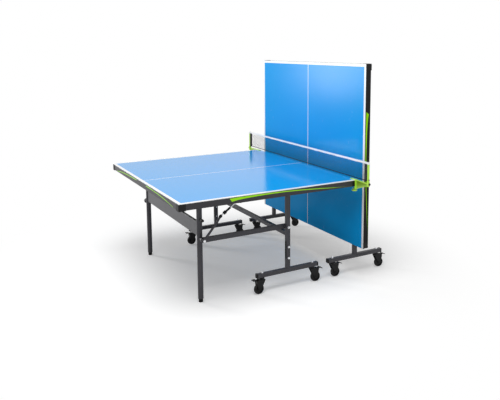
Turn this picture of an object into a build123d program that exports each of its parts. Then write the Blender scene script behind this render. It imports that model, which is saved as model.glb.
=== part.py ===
from build123d import *
import math
import os

# Full-size ping pong table in two folding halves, in millimetres, +Z up.
# Half A is open for play.  Half B is stood up as the playback wall for one player.
# A half is first modelled open, in its own frame: x = 0 at the middle of its carriage,
# x positive towards the net, y across the table.  Then it is folded and put in its place.

# ---------------------------------------------------------------- driving sizes
HALF_LENGTH = 1370.0
TABLE_WIDTH = 1525.0
SURFACE_HEIGHT = 760.0
PANEL_THICKNESS = 6.0
PANEL_CHAMFER = 0.8

APRON_HEIGHT = 41.0
APRON_FLANGE = 16.0
APRON_WALL = 2.0
APRON_LIP = 10.0
APRON_CORNER = 1.9
APRON_END_GAP = 45.0
END_BLOCK_GAP = 3.0
END_BLOCK_WIDTH = 24.0
END_BLOCK_SPIGOT = 20.0
CAP_REACH = 45.0
CAP_WALL = 2.5
CAP_RADIUS = 9.0

# the folding frame: a parallelogram of carriage, top, leg and link
CARRIAGE_SETBACK = 510.0
PIVOT_DEPTH = 26.0
LEG_SETBACK = 638.0
LINK_DROP = 285.0
STORED_CARRIAGE_X = 87.0

TUBE = 30.0
TUBE_WALL = 2.0
TUBE_CORNER = 3.0
UPRIGHT_INSET = 137.5
BAR_HALF_LENGTH = 246.0
BAR_BOTTOM = 117.5
END_CAP = 10.0
CROSS_TUBE_HEIGHT = 400.0
SLOT_WIDTH = 13.0
SLOT_BOTTOM = 217.0
SLOT_TOP = 347.0
LINER_LIP = 2.0
LINER_PROUD = 1.5
LINER_GROOVE = 5.0
SPLICE_BOLTS = (223.0, 305.0)
SPLICE_BOLT = 8.0
SPLICE_NUT = 12.0
CLEARANCE = 0.2
RUNNING_FIT = 0.1
SIDE_PLAY = 1.0

LEG_DIAMETER = 38.0
LEG_WALL = 1.5
LEG_INSET = 219.5
FOOT_HEIGHT = 24.0
FOOT_DIAMETER = 30.0
FOOT_EDGE = 3.0
FOOT_GROOVE = 3.0
FOOT_GROOVE_DEPTH = 1.5
FOOT_STEM = 12.0
FOOT_STEM_LENGTH = 46.0
PLUG_LENGTH = 30.0
LEG_PANEL_BOTTOM = 460.0
LEG_PANEL_HEIGHT = 98.0
LEG_PANEL_THICKNESS = 20.0
BUMPER_HEIGHT = 581.0
BUMPER_DIAMETER = 20.0
BUMPER_REACH = 43.0
BUMPER_HEAD = 18.0
BUMPER_NECK = 12.0
BUMPER_EDGE = 3.0

LINK_HEIGHT = 34.0
LINK_THICKNESS = 16.0
LINK_INSET = 166.5
PIVOT_BOLT = 12.0
PIVOT_HEAD = 5.0
PIVOT_NUT = 13.0
LEG_PIN = 8.0
FLAT_HEAD = 3.0
PLATE = 4.0
PLATE_CORNER = 2.0

# under-frame of the top
RAIL_WIDTH = 20.0
RAIL_HEIGHT = 30.0
RAIL_INSET = 94.5
CROSS_RAIL_HEIGHT = 20.0
CROSS_RAIL_WIDTH = 30.0
NET_RAIL_SETBACK = 30.0
NET_RAIL_INSET = 162.5
FRONT_RAIL_SETBACK = 300.0
FRONT_RAIL_INSET = 187.5
MIDDLE_RAIL_SETBACK = 640.0
MIDDLE_RAIL_INSET = 250.5
HINGE_RAIL_GAP = 5.0
LUG_RADIUS = 11.0
LUG_REACH = 24.0
LUG_CORNER = 3.0

# safety stay: a bent tube with a light upper rod, hooked over the leg's pivot pin
STAY_INSET = 145.5
STAY_PIVOT_SETBACK = 893.0
STAY_PIVOT_DROP = 42.0
STAY_KNEE_REACH = 120.0
STAY_KNEE_RISE = 148.0
STAY_SHIN_REACH = 92.0
STAY_SHIN_RISE = 107.0
STAY_TUBE_END = 14.0
STAY_TUBE = 16.0
STAY_ROD = 9.0
STAY_PLATE = 6.0
STAY_BEND = 45.0
STAY_LIFT = 38.0
HOOK_RADIUS = 15.0
HOOK_OPENING = -15.5
SLEEVE_DIAMETER = 21.0
SLEEVE_EDGE = 2.0
KNEE_SLEEVE = (-6.0, 10.0)
LOCK_SLEEVE = (30.0, 52.0)
GRIP_SLEEVE = (53.0, 92.0)
GRIP_DIAMETER = 13.0

# casters
STEM_SPREAD = 208.0
WHEEL_DIAMETER = 76.0
WHEEL_WIDTH = 24.0
WHEEL_BORE = 8.0
CASTER_TRAIL = 28.0
WHEEL_CROWN = 4.0
WHEEL_HUB_PROUD = 1.5
WHEEL_WEB_DEPTH = 5.0
FORK_TOP = 104.0
FORK_PLATE = 3.0
FORK_CROWN = 4.0
FORK_GAP = 2.5
FORK_CORNER = 3.0
FORK_LIP = 9.0
FORK_BACK = 18.0
CROWN_SETBACK = 14.0
KINGPIN = 12.0
KINGPIN_HEAD = 4.0
RACE_DIAMETER = 34.0
RACE_EDGE = 1.5
PEDAL_PIVOT = (42.0, 93.0)
PEDAL_PIN = 6.0
PEDAL_KNEE = (60.0, 103.0)
PEDAL_TIP = (84.0, 95.0)
PEDAL_THICKNESS = 4.0
PEDAL_TREAD = 32.0
PEDAL_PLAY = 1.5
SHOE_LENGTH = (6.0, 3.0)
SHOE_LIFT = 4.0
PEDAL_RAISED = 18.0

# net and its clamps
NET_SETBACK = 15.0
NET_HEIGHT = 152.5
POST_OVERHANG = 143.0
POST_DIAMETER = 16.0
POST_WALL = 2.0
POST_MOUTH = 5.0
POST_BELOW_NET = 1.0
CORE_GAP = 0.4
CORE_DEPTH = 24.0
CORE_WIDTH = 12.0
CORE_CORNER = 2.0
NET_THREAD = 1.2
NET_TAPE = 15.0
NET_TAPE_THICKNESS = 3.0
NET_GAP = 4.0
NET_SLOT = 3.0
NET_GRIP = 18.0
CLAMP_WIDTH = 20.0
CLAMP_PLATE = 4.0
CLAMP_JAW = 30.0
TOP_JAW = 60.0
CLAMP_GAP = 1.5
CLAMP_MOUTH = 16.0
CLAMP_CORNER = 6.0
ARM_WIDTH = 16.0
ARM_WEB = 4.0
ARM_RIM = 5.0
ARM_END_HEIGHT = 17.0
HUB_DIAMETER = 22.0
HUB_HEIGHT = 36.0
HUB_RISE = 14.0
SCREW_DIAMETER = 8.0
SCREW_PAD = 3.0
KNOB_DIAMETER = 40.0
KNOB_HEIGHT = 10.0
KNOB_EDGE = 3.0
KNOB_NECK = 6.0
KNOB_FLUTES = 8
FLUTE_RADIUS = 5.0
FLUTE_OFFSET = 2.5

# ---------------------------------------------------------------- derived sizes
PANEL_BOTTOM = SURFACE_HEIGHT - PANEL_THICKNESS
APRON_BOTTOM = PANEL_BOTTOM - APRON_HEIGHT
PIVOT_HEIGHT = SURFACE_HEIGHT - PIVOT_DEPTH
LINK_PIVOT_HEIGHT = PIVOT_HEIGHT - LINK_DROP
NET_EDGE = CARRIAGE_SETBACK
OUTER_EDGE = CARRIAGE_SETBACK - HALF_LENGTH
HALF_WIDTH = TABLE_WIDTH / 2
UPRIGHT_Y = HALF_WIDTH - UPRIGHT_INSET
LEG_Y = HALF_WIDTH - LEG_INSET
LINK_Y = HALF_WIDTH - LINK_INSET
RAIL_Y = HALF_WIDTH - RAIL_INSET
STAY_Y = HALF_WIDTH - STAY_INSET
POST_Y = HALF_WIDTH + POST_OVERHANG
BAR_TOP = BAR_BOTTOM + TUBE
UPRIGHT_INNER = UPRIGHT_Y - TUBE / 2
UPRIGHT_OUTER = UPRIGHT_Y + TUBE / 2
RAIL_INNER = RAIL_Y - RAIL_WIDTH / 2
RAIL_OUTER = RAIL_Y + RAIL_WIDTH / 2
LEG_RADIUS = LEG_DIAMETER / 2
LEG_OUTER = LEG_Y + LEG_RADIUS
LINK_INNER = LINK_Y - LINK_THICKNESS / 2
LINK_OUTER = LINK_Y + LINK_THICKNESS / 2
HINGE_RAIL_X = -LEG_SETBACK - LEG_RADIUS - HINGE_RAIL_GAP - CROSS_RAIL_WIDTH / 2
STAY_PIVOT_X = CARRIAGE_SETBACK - STAY_PIVOT_SETBACK
WHEEL_RADIUS = WHEEL_DIAMETER / 2
FORK_INNER = WHEEL_WIDTH / 2 + FORK_GAP
FORK_OUTER = FORK_INNER + FORK_PLATE
NET_X = NET_EDGE - NET_SETBACK
NET_TOP = SURFACE_HEIGHT + NET_HEIGHT
POST_RADIUS = POST_DIAMETER / 2
CORE_INNER = POST_Y - POST_RADIUS - CORE_GAP - CORE_DEPTH
NET_END = CORE_INNER + NET_GRIP - SIDE_PLAY
CLAMP_WEB = HALF_WIDTH + CLAMP_GAP
CLAMP_BOTTOM = APRON_BOTTOM - CLAMP_MOUTH
CLAMP_FOOT = CLAMP_BOTTOM - CLAMP_PLATE
HUB_TOP = SURFACE_HEIGHT + HUB_RISE

TOP_PIVOT = (0.0, PIVOT_HEIGHT)
LEG_PIVOT = (-LEG_SETBACK, PIVOT_HEIGHT)
LINK_PIVOT = (0.0, LINK_PIVOT_HEIGHT)
LEG_LINK_PIVOT = (-LEG_SETBACK, LINK_PIVOT_HEIGHT)
STAY_PIVOT = (STAY_PIVOT_X, PIVOT_HEIGHT - STAY_PIVOT_DROP)
STAY_KNEE = (-LEG_SETBACK + STAY_KNEE_REACH, LINK_PIVOT_HEIGHT + STAY_KNEE_RISE)
STAY_SHIN = (-LEG_SETBACK + STAY_SHIN_REACH, LINK_PIVOT_HEIGHT + STAY_SHIN_RISE)

# the whole object is set down with its origin on the floor, under the middle of its box
FARTHEST_CASTER = STORED_CARRIAGE_X + STEM_SPREAD + PEDAL_TIP[0]
ORIGIN_X = (FARTHEST_CASTER - HALF_LENGTH - CAP_WALL) / 2
HALF_A_X = -CARRIAGE_SETBACK - ORIGIN_X
HALF_B_X = STORED_CARRIAGE_X - ORIGIN_X


# ---------------------------------------------------------------- helpers
def block(x, y, z):
    """A box between two limits along each axis."""
    size = [limits[1] - limits[0] for limits in (x, y, z)]
    middle = [(limits[0] + limits[1]) / 2 for limits in (x, y, z)]
    return Pos(*middle) * Box(*size)


def rod(radius, x, z, y):
    """A round bar along Y between two limits."""
    return Pos(x, (y[0] + y[1]) / 2, z) * Rot(90, 0, 0) * Cylinder(radius, y[1] - y[0])


def side_plate(profile, y):
    """A flat profile drawn in x and z, given its thickness between two y limits."""
    plane = Plane(origin=(0, y[0], 0), x_dir=(1, 0, 0), z_dir=(0, -1, 0))
    return extrude(plane * profile, -(y[1] - y[0]))


def hull_of(*rounds):
    """The outline drawn tight around circles given as (x, z, radius)."""
    edges = [edge for x, z, radius in rounds for edge in (Pos(x, z) * Circle(radius)).edges()]
    return make_hull(edges)


def tube_along(length, width, height, wall, corner):
    """A hollow rectangular tube centred on the origin, running along X."""
    outer = RectangleRounded(width, height, corner)
    inner = RectangleRounded(width - 2 * wall, height - 2 * wall, corner - wall)
    section = Plane(origin=(-length / 2, 0, 0), x_dir=(0, 1, 0), z_dir=(1, 0, 0)) * (outer - inner)
    return extrude(section, length)


def both_sides(shape):
    """A piece on the near side and its twin on the far side."""
    return [shape, mirror(shape, Plane.XZ)]


def post(radius, z):
    """A round bar along Z between two limits."""
    return Pos(0, 0, (z[0] + z[1]) / 2) * Cylinder(radius, z[1] - z[0])


def cap_nut(across, height, reach):
    """A domed nut with its bolt: the nut sits on z = 0 and the bolt reaches down."""
    nut = extrude(RegularPolygon(across / 2, 6, major_radius=False), height / 2)
    dome = post(across * 0.42, (height / 2, height))
    dome = fillet(dome.edges().sort_by(Axis.Z)[-1], across * 0.3)
    return nut + dome + post(across / 4, (-reach, 0))


def turned(shape, pivot, degrees):
    """Turn a piece about a pivot line along Y."""
    x, z = pivot
    return Pos(x, 0, z) * Rot(0, degrees, 0) * Pos(-x, 0, -z) * shape


# ---------------------------------------------------------------- the top
def playing_panel():
    panel = block((OUTER_EDGE, NET_EDGE), (-HALF_WIDTH, HALF_WIDTH), (PANEL_BOTTOM, SURFACE_HEIGHT))
    return [chamfer(panel.faces().sort_by(Axis.Z)[-1].edges(), PANEL_CHAMFER)]


def apron_section():
    """Lipped channel, open to the inside, with its outer face at 0 and its top at 0."""
    middle = Pos(APRON_FLANGE / 2, -APRON_HEIGHT / 2)
    outer = middle * RectangleRounded(APRON_FLANGE, APRON_HEIGHT, APRON_CORNER)
    hollow = middle * Rectangle(APRON_FLANGE - 2 * APRON_WALL, APRON_HEIGHT - 2 * APRON_WALL)
    mouth = Pos(APRON_FLANGE, -APRON_HEIGHT / 2) * Rectangle(3 * APRON_WALL, APRON_HEIGHT - 2 * APRON_LIP)
    return outer - hollow - mouth


def aprons():
    side_start = OUTER_EDGE + APRON_FLANGE
    side_end = NET_EDGE - APRON_END_GAP
    side_plane = Plane(origin=(side_start, -HALF_WIDTH, PANEL_BOTTOM), x_dir=(0, 1, 0), z_dir=(1, 0, 0))
    side = extrude(side_plane * apron_section(), side_end - side_start)
    end_plane = Plane(origin=(OUTER_EDGE, HALF_WIDTH, PANEL_BOTTOM), x_dir=(1, 0, 0), z_dir=(0, -1, 0))
    end = extrude(end_plane * apron_section(), TABLE_WIDTH)
    return both_sides(side) + [end]


def apron_end_block():
    """Moulded block that closes the net end of a side apron, where the net is clamped."""
    start = NET_EDGE - APRON_END_GAP
    end_block = block((start, NET_EDGE - END_BLOCK_GAP), (-HALF_WIDTH, -HALF_WIDTH + END_BLOCK_WIDTH),
                      (APRON_BOTTOM, PANEL_BOTTOM))
    end_block = fillet(end_block.edges().filter_by(Axis.X).sort_by(Axis.Z)[:2], APRON_CORNER)
    inset = APRON_WALL + CLEARANCE
    return end_block + block((start - END_BLOCK_SPIGOT, start + 1),
                             (-HALF_WIDTH + inset, -HALF_WIDTH + APRON_FLANGE - inset),
                             (APRON_BOTTOM + inset, PANEL_BOTTOM - inset))


def corner_caps():
    """Moulded guards that wrap the two outer corners of the apron, and the blocks at its other ends."""
    height = (APRON_BOTTOM - CAP_WALL, PANEL_BOTTOM)
    reach = (OUTER_EDGE - CAP_WALL, OUTER_EDGE + CAP_REACH)
    side = (-HALF_WIDTH - CAP_WALL, -HALF_WIDTH + CAP_REACH)
    guard = block(reach, side, height)
    corner = guard.edges().filter_by(Axis.Z).sort_by(Axis.X)[:2].sort_by(Axis.Y)[0]
    guard = fillet(corner, CAP_RADIUS)
    guard -= block((OUTER_EDGE, reach[1] + 1), (-HALF_WIDTH, side[1] + 1), (APRON_BOTTOM, height[1] + 1))
    guard -= block((OUTER_EDGE + APRON_FLANGE, reach[1] + 1), (-HALF_WIDTH + APRON_FLANGE, side[1] + 1),
                   (height[0] - 1, height[1] + 1))
    return both_sides(guard) + both_sides(apron_end_block())


def rail(x, reach):
    """A cross rail under the panel."""
    tube = tube_along(2 * reach, CROSS_RAIL_WIDTH, CROSS_RAIL_HEIGHT, TUBE_WALL, TUBE_CORNER)
    return Pos(x, 0, PANEL_BOTTOM - CROSS_RAIL_HEIGHT / 2) * Rot(0, 0, 90) * tube


def side_rail():
    start = OUTER_EDGE + APRON_FLANGE
    end = NET_EDGE - NET_RAIL_SETBACK
    tube = tube_along(end - start, RAIL_WIDTH, RAIL_HEIGHT, TUBE_WALL, TUBE_CORNER)
    tube = Pos((start + end) / 2, -RAIL_Y, PANEL_BOTTOM - RAIL_HEIGHT / 2) * tube
    across = (-RAIL_OUTER - 1, -RAIL_INNER + 1)
    tube -= rod(PIVOT_BOLT / 2 + RUNNING_FIT, *TOP_PIVOT, across)
    return tube


def carriage_hinge_plate():
    """Plate and bush on the side rail that carry the bolt on which the top turns."""
    shoulder = PANEL_BOTTOM - PLATE_CORNER
    profile = hull_of((*TOP_PIVOT, TUBE * 0.6), (-TUBE, shoulder, PLATE_CORNER),
                      (TUBE, shoulder, PLATE_CORNER))
    plate = side_plate(profile, (-RAIL_INNER, -RAIL_INNER + PLATE))
    plate += rod(PIVOT_BOLT * 0.9, *TOP_PIVOT, (-RAIL_INNER, -UPRIGHT_OUTER - SIDE_PLAY))
    return plate - rod(PIVOT_BOLT / 2 + RUNNING_FIT, *TOP_PIVOT, (-RAIL_OUTER, -UPRIGHT_OUTER))


def carriage_hinge_bolt():
    """Shoulder bolt through rail, plate and upright, with a thin head inside the upright."""
    head_face = -UPRIGHT_INNER + SIDE_PLAY
    bolt = rod(PIVOT_BOLT / 2, *TOP_PIVOT, (-RAIL_OUTER, head_face))
    head = rod(PIVOT_BOLT * 0.9, *TOP_PIVOT, (head_face, head_face + FLAT_HEAD))
    nut = Pos(0, -RAIL_OUTER, PIVOT_HEIGHT) * Rot(90, 0, 0) * extrude(
        RegularPolygon(PIVOT_BOLT * 0.8, 6, major_radius=False), PIVOT_BOLT * 0.6)
    return bolt + head + nut


def leg_hinge_plates():
    """Pair of ears on the hinge rail that hold the leg's pin."""
    rail_face = HINGE_RAIL_X + CROSS_RAIL_WIDTH / 2
    profile = hull_of((*LEG_PIVOT, LEG_PIN * 1.3),
                      (rail_face + PLATE_CORNER, PANEL_BOTTOM - PLATE_CORNER, PLATE_CORNER),
                      (rail_face + PLATE_CORNER, PANEL_BOTTOM - CROSS_RAIL_HEIGHT, PLATE_CORNER),
                      (-LEG_SETBACK + LEG_RADIUS, PANEL_BOTTOM - PLATE_CORNER, PLATE_CORNER))
    profile -= Pos(*LEG_PIVOT) * Circle(LEG_PIN / 2 + RUNNING_FIT)
    gap = LEG_RADIUS + SIDE_PLAY
    outer = side_plate(profile, (-LEG_Y - gap - PLATE, -LEG_Y - gap))
    inner = side_plate(profile, (-LEG_Y + gap, -LEG_Y + gap + PLATE))
    return [outer, inner]


def leg_hinge_pin():
    ear = LEG_RADIUS + SIDE_PLAY + PLATE
    pin = rod(LEG_PIN / 2, *LEG_PIVOT, (-LEG_Y - ear, -LEG_Y + ear))
    pin += rod(LEG_PIN * 0.8, *LEG_PIVOT, (-LEG_Y - ear - FLAT_HEAD, -LEG_Y - ear))
    return pin + rod(LEG_PIN * 0.8, *LEG_PIVOT, (-LEG_Y + ear, -LEG_Y + ear + FLAT_HEAD))


def stay_lug():
    """Plate below the side rail that carries the upper end of the stay, with its pin."""
    shoulder = PANEL_BOTTOM - SIDE_PLAY - LUG_CORNER
    profile = hull_of((*STAY_PIVOT, LUG_RADIUS), (STAY_PIVOT_X - LUG_REACH, shoulder, LUG_CORNER),
                      (STAY_PIVOT_X + LUG_REACH, shoulder, LUG_CORNER))
    lug = side_plate(profile, (-RAIL_INNER, -RAIL_INNER + 2 * PLATE))
    head_face = -STAY_Y + STAY_PLATE
    pin = rod(LEG_PIN / 2, *STAY_PIVOT, (-RAIL_INNER, head_face))
    return lug + pin + rod(LEG_PIN * 0.8, *STAY_PIVOT, (head_face, head_face + FLAT_HEAD))


def under_frame():
    pieces = [rail(HINGE_RAIL_X, RAIL_INNER)]
    for setback, inset in ((NET_RAIL_SETBACK, NET_RAIL_INSET), (FRONT_RAIL_SETBACK, FRONT_RAIL_INSET),
                           (MIDDLE_RAIL_SETBACK, MIDDLE_RAIL_INSET)):
        pieces.append(rail(NET_EDGE - setback, HALF_WIDTH - inset))
    one_side = [side_rail(), carriage_hinge_plate(), carriage_hinge_bolt()]
    one_side += leg_hinge_plates() + [leg_hinge_pin(), stay_lug()]
    for piece in one_side:
        pieces += both_sides(piece)
    return pieces


# ---------------------------------------------------------------- the carriage
def upright():
    """Upright tube with a rounded head round the pivot and an open slot in its outer face."""
    height = PIVOT_HEIGHT + TUBE / 2 - BAR_TOP
    tube = Rot(0, 90, 0) * tube_along(height, TUBE, TUBE, TUBE_WALL, TUBE_CORNER)
    tube = Pos(0, -UPRIGHT_Y, BAR_TOP + height / 2) * tube
    across = (-UPRIGHT_OUTER - 1, -UPRIGHT_INNER + 1)
    head = rod(TUBE / 2, *TOP_PIVOT, across)
    tube &= block((-TUBE, TUBE), across, (BAR_TOP - 1, PIVOT_HEIGHT)) + head
    tube -= rod(PIVOT_BOLT / 2 + RUNNING_FIT, *TOP_PIVOT, across)
    tube -= rod(PIVOT_BOLT / 2 + CLEARANCE, *LINK_PIVOT, across)
    for bolt_height in SPLICE_BOLTS:
        tube -= rod(SPLICE_BOLT / 2 + CLEARANCE, 0, bolt_height, across)
    slot = Pos(-TUBE / 2, -UPRIGHT_Y, (SLOT_BOTTOM + SLOT_TOP) / 2) * Rot(0, 90, 0) * extrude(
        SlotOverall(SLOT_TOP - SLOT_BOTTOM, SLOT_WIDTH), 2 * TUBE_WALL, both=True)
    return tube - slot


def slot_liner():
    """Moulded liner with a lip round the slot of an upright and a groove down its middle."""
    height = SLOT_TOP - SLOT_BOTTOM
    lip = extrude(SlotOverall(height + 2 * LINER_LIP, SLOT_WIDTH + 2 * LINER_LIP), -LINER_PROUD)
    body = extrude(SlotOverall(height - 2 * CLEARANCE, SLOT_WIDTH - 2 * CLEARANCE), 2 * TUBE_WALL)
    groove = extrude(SlotOverall(height - SLOT_WIDTH, LINER_GROOVE), 3 * TUBE_WALL, both=True)
    return Pos(-TUBE / 2, -UPRIGHT_Y, (SLOT_BOTTOM + SLOT_TOP) / 2) * Rot(0, 90, 0) * (lip + body - groove)


def base_bar():
    bar = Pos(0, -UPRIGHT_Y, BAR_BOTTOM + TUBE / 2) * tube_along(
        2 * BAR_HALF_LENGTH, TUBE, TUBE, TUBE_WALL, TUBE_CORNER)
    for side in (-1, 1):
        bar -= Pos(side * STEM_SPREAD, -UPRIGHT_Y, BAR_BOTTOM + TUBE / 2) * Cylinder(
            KINGPIN / 2 + CLEARANCE, 2 * TUBE)
    return bar


def carriage_frame():
    cross = Pos(0, 0, CROSS_TUBE_HEIGHT) * Rot(0, 0, 90) * tube_along(
        2 * UPRIGHT_INNER, TUBE, TUBE, TUBE_WALL, TUBE_CORNER)
    return both_sides(upright()) + both_sides(base_bar()) + [cross]


def carriage_plastics():
    """Plugs in the ends of the base bars, the caster races below them, and the slot liners."""
    pieces = both_sides(slot_liner())
    bore = TUBE - 2 * TUBE_WALL - 2 * CLEARANCE
    race_limits = (FORK_TOP + 2 * CLEARANCE, BAR_BOTTOM)
    for side in (-1, 1):
        bar_end = Pos(side * BAR_HALF_LENGTH, -UPRIGHT_Y, BAR_BOTTOM + TUBE / 2)
        cap = bar_end * Pos(side * END_CAP / 2, 0, 0) * Box(END_CAP, TUBE, TUBE)
        rim = cap.faces().sort_by(Axis.X)[-1 if side > 0 else 0].edges()
        cap = fillet(rim, TUBE_CORNER)
        plug = Rot(0, -90 * side, 0) * RectangleRounded(bore, bore, TUBE_CORNER - TUBE_WALL + CLEARANCE)
        cap += bar_end * extrude(plug, 2 * END_CAP)
        race = post(RACE_DIAMETER / 2, race_limits) - post(KINGPIN / 2 + CLEARANCE, (0, 2 * BAR_BOTTOM))
        race = chamfer(race.edges().filter_by(GeomType.CIRCLE).sort_by(Axis.Z)[0], RACE_EDGE)
        pieces += both_sides(cap) + both_sides(Pos(side * STEM_SPREAD, -UPRIGHT_Y, 0) * race)
    return pieces


def kingpin():
    """Bolt that holds a caster under the base bar, with a domed nut on the bar."""
    head_top = FORK_TOP - FORK_CROWN - CLEARANCE
    bolt = post(KINGPIN / 2, (head_top, BAR_TOP)) + post(KINGPIN * 0.8, (head_top - KINGPIN_HEAD, head_top))
    return bolt + Pos(0, 0, BAR_TOP) * cap_nut(1.4 * KINGPIN, KINGPIN, TUBE_WALL)


def carriage_bolts():
    """Domed nuts and their bolts: casters, splice bolts and the pivots of the links."""
    pieces = []
    for side in (-1, 1):
        pieces += both_sides(Pos(side * STEM_SPREAD, -UPRIGHT_Y, 0) * kingpin())
    for bolt_height in SPLICE_BOLTS:
        bolt = cap_nut(2 * SPLICE_BOLT, SPLICE_NUT, TUBE)
        pieces += both_sides(Pos(0, -UPRIGHT_OUTER, bolt_height) * Rot(90, 0, 0) * bolt)
    nut = cap_nut(1.5 * PIVOT_BOLT, PIVOT_NUT, TUBE_WALL)
    nut = Pos(0, -UPRIGHT_OUTER, LINK_PIVOT_HEIGHT) * Rot(90, 0, 0) * nut
    head_face = -LINK_INNER + SIDE_PLAY
    shank = rod(PIVOT_BOLT / 2, *LINK_PIVOT, (-UPRIGHT_OUTER, head_face))
    head = rod(PIVOT_BOLT * 0.8, *LINK_PIVOT, (head_face, head_face + PIVOT_HEAD))
    washer = rod(PIVOT_BOLT, *LINK_PIVOT, (-UPRIGHT_INNER, -LINK_OUTER - SIDE_PLAY))
    return pieces + both_sides(nut + shank + head + washer)


# ---------------------------------------------------------------- the legs
def leg_tube():
    """Round leg with a domed head, so that it turns close under the panel."""
    bottom = FOOT_HEIGHT + SIDE_PLAY
    height = PIVOT_HEIGHT + LEG_RADIUS - bottom
    outer = Cylinder(LEG_RADIUS, height) - Cylinder(LEG_RADIUS - LEG_WALL, 2 * height)
    tube = Pos(-LEG_SETBACK, -LEG_Y, bottom + height / 2) * outer
    across = (-LEG_OUTER - 1, -LEG_Y + LEG_RADIUS + 1)
    tube &= block((-LEG_SETBACK - LEG_DIAMETER, 0), across, (bottom - 1, PIVOT_HEIGHT)) + rod(
        LEG_RADIUS, *LEG_PIVOT, across)
    tube -= rod(LEG_PIN / 2 + RUNNING_FIT, *LEG_PIVOT, across)
    tube -= rod(PIVOT_BOLT / 2 + CLEARANCE, *LEG_LINK_PIVOT, across)
    return tube - rod(BUMPER_DIAMETER / 4 + CLEARANCE, -LEG_SETBACK, BUMPER_HEIGHT, (-LEG_OUTER - 1, -LEG_Y))


def leg_link_pin():
    """Pin through the leg that carries the link and takes the hook of the stay."""
    hook_end = STAY_Y + STAY_PLATE
    leg_inner = -LEG_Y + LEG_RADIUS + SIDE_PLAY
    pin = rod(PIVOT_BOLT / 2, *LEG_LINK_PIVOT, (-hook_end, leg_inner))
    pin += rod(PIVOT_BOLT * 0.8, *LEG_LINK_PIVOT, (-hook_end - STAY_PLATE, -hook_end))
    pin += rod(PIVOT_BOLT * 0.8, *LEG_LINK_PIVOT, (leg_inner, leg_inner + PIVOT_HEAD))
    spacer = rod(PIVOT_BOLT * 0.85, *LEG_LINK_PIVOT, (-LINK_INNER + SIDE_PLAY, -LEG_OUTER))
    collar = rod(PIVOT_BOLT * 0.85, *LEG_LINK_PIVOT, (-STAY_Y + STAY_PLATE, -LINK_OUTER - SIDE_PLAY))
    return pin + spacer + collar


def leg_tubes():
    return both_sides(leg_tube()) + both_sides(leg_link_pin())


def leg_panel():
    """Hollow board between the legs, coped to the round tubes."""
    board = tube_along(2 * LEG_Y, LEG_PANEL_THICKNESS, LEG_PANEL_HEIGHT, TUBE_WALL, TUBE_CORNER)
    board = Pos(-LEG_SETBACK, 0, LEG_PANEL_BOTTOM + LEG_PANEL_HEIGHT / 2) * Rot(0, 0, 90) * board
    for side in (-1, 1):
        board -= Pos(-LEG_SETBACK, side * LEG_Y, 0) * post(LEG_RADIUS + CLEARANCE, (0, SURFACE_HEIGHT))
    return [board]


def leg_plastics():
    """Rubber bumpers on the outside of the legs, and the plugs that guide the feet."""
    tip = -LEG_OUTER - BUMPER_REACH
    bumper = rod(BUMPER_DIAMETER / 2, -LEG_SETBACK, BUMPER_HEIGHT, (tip, tip + BUMPER_HEAD))
    bumper = fillet(bumper.edges().filter_by(GeomType.CIRCLE), BUMPER_EDGE)
    bumper += rod(BUMPER_NECK / 2, -LEG_SETBACK, BUMPER_HEIGHT, (tip + BUMPER_HEAD / 2, -LEG_OUTER))
    bumper += rod(BUMPER_NECK / 3, -LEG_SETBACK, BUMPER_HEIGHT, (-LEG_OUTER, -LEG_OUTER + 2 * LEG_WALL))
    plug_bottom = FOOT_HEIGHT + SIDE_PLAY
    plug = post(LEG_RADIUS - LEG_WALL - CLEARANCE, (plug_bottom, plug_bottom + PLUG_LENGTH))
    plug -= post(FOOT_STEM / 2 + RUNNING_FIT, (0, 2 * (plug_bottom + PLUG_LENGTH)))
    return both_sides(bumper) + both_sides(Pos(-LEG_SETBACK, -LEG_Y, 0) * plug)


def levelling_foot(side):
    """Turned foot with a rounded pad and a threaded stem that screws into the leg."""
    pad = post(FOOT_DIAMETER / 2, (0, FOOT_HEIGHT))
    rims = pad.edges().filter_by(GeomType.CIRCLE).sort_by(Axis.Z)
    pad = fillet([rims[0], rims[-1]], FOOT_EDGE)
    groove = Cylinder(FOOT_DIAMETER, FOOT_GROOVE)
    groove -= Cylinder(FOOT_DIAMETER / 2 - FOOT_GROOVE_DEPTH, FOOT_GROOVE)
    pad -= Pos(0, 0, FOOT_HEIGHT * 0.55) * groove
    stem = post(FOOT_STEM / 2, (0, FOOT_STEM_LENGTH))
    return [Pos(-LEG_SETBACK, side * LEG_Y, 0) * (pad + stem)]


# ---------------------------------------------------------------- links and stays
def link_bar():
    """Flat tube with round ends between the upright and the leg."""
    profile = hull_of((*LINK_PIVOT, LINK_HEIGHT / 2), (*LEG_LINK_PIVOT, LINK_HEIGHT / 2))
    hollow = hull_of((-LINK_HEIGHT, LINK_PIVOT_HEIGHT, LINK_HEIGHT / 2 - TUBE_WALL),
                     (-LEG_SETBACK + LINK_HEIGHT, LINK_PIVOT_HEIGHT, LINK_HEIGHT / 2 - TUBE_WALL))
    bar = side_plate(profile, (-LINK_OUTER, -LINK_INNER))
    bar -= side_plate(hollow, (-LINK_OUTER + TUBE_WALL, -LINK_INNER - TUBE_WALL))
    for pivot in (LINK_PIVOT, LEG_LINK_PIVOT):
        bar -= rod(PIVOT_BOLT / 2 + RUNNING_FIT, *pivot, (-LINK_OUTER - 1, -LINK_INNER + 1))
    return bar


def stay_points():
    """Centre line of the stay: hook, shin bend, knee bend, start of the rod."""
    knee = Vector(*STAY_KNEE)
    along_rod = (Vector(*STAY_PIVOT) - knee).normalized()
    return Vector(*LEG_LINK_PIVOT), Vector(*STAY_SHIN), knee, along_rod


def in_stay_plane(point):
    return Vector(point.X, -STAY_Y, point.Y)


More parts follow.
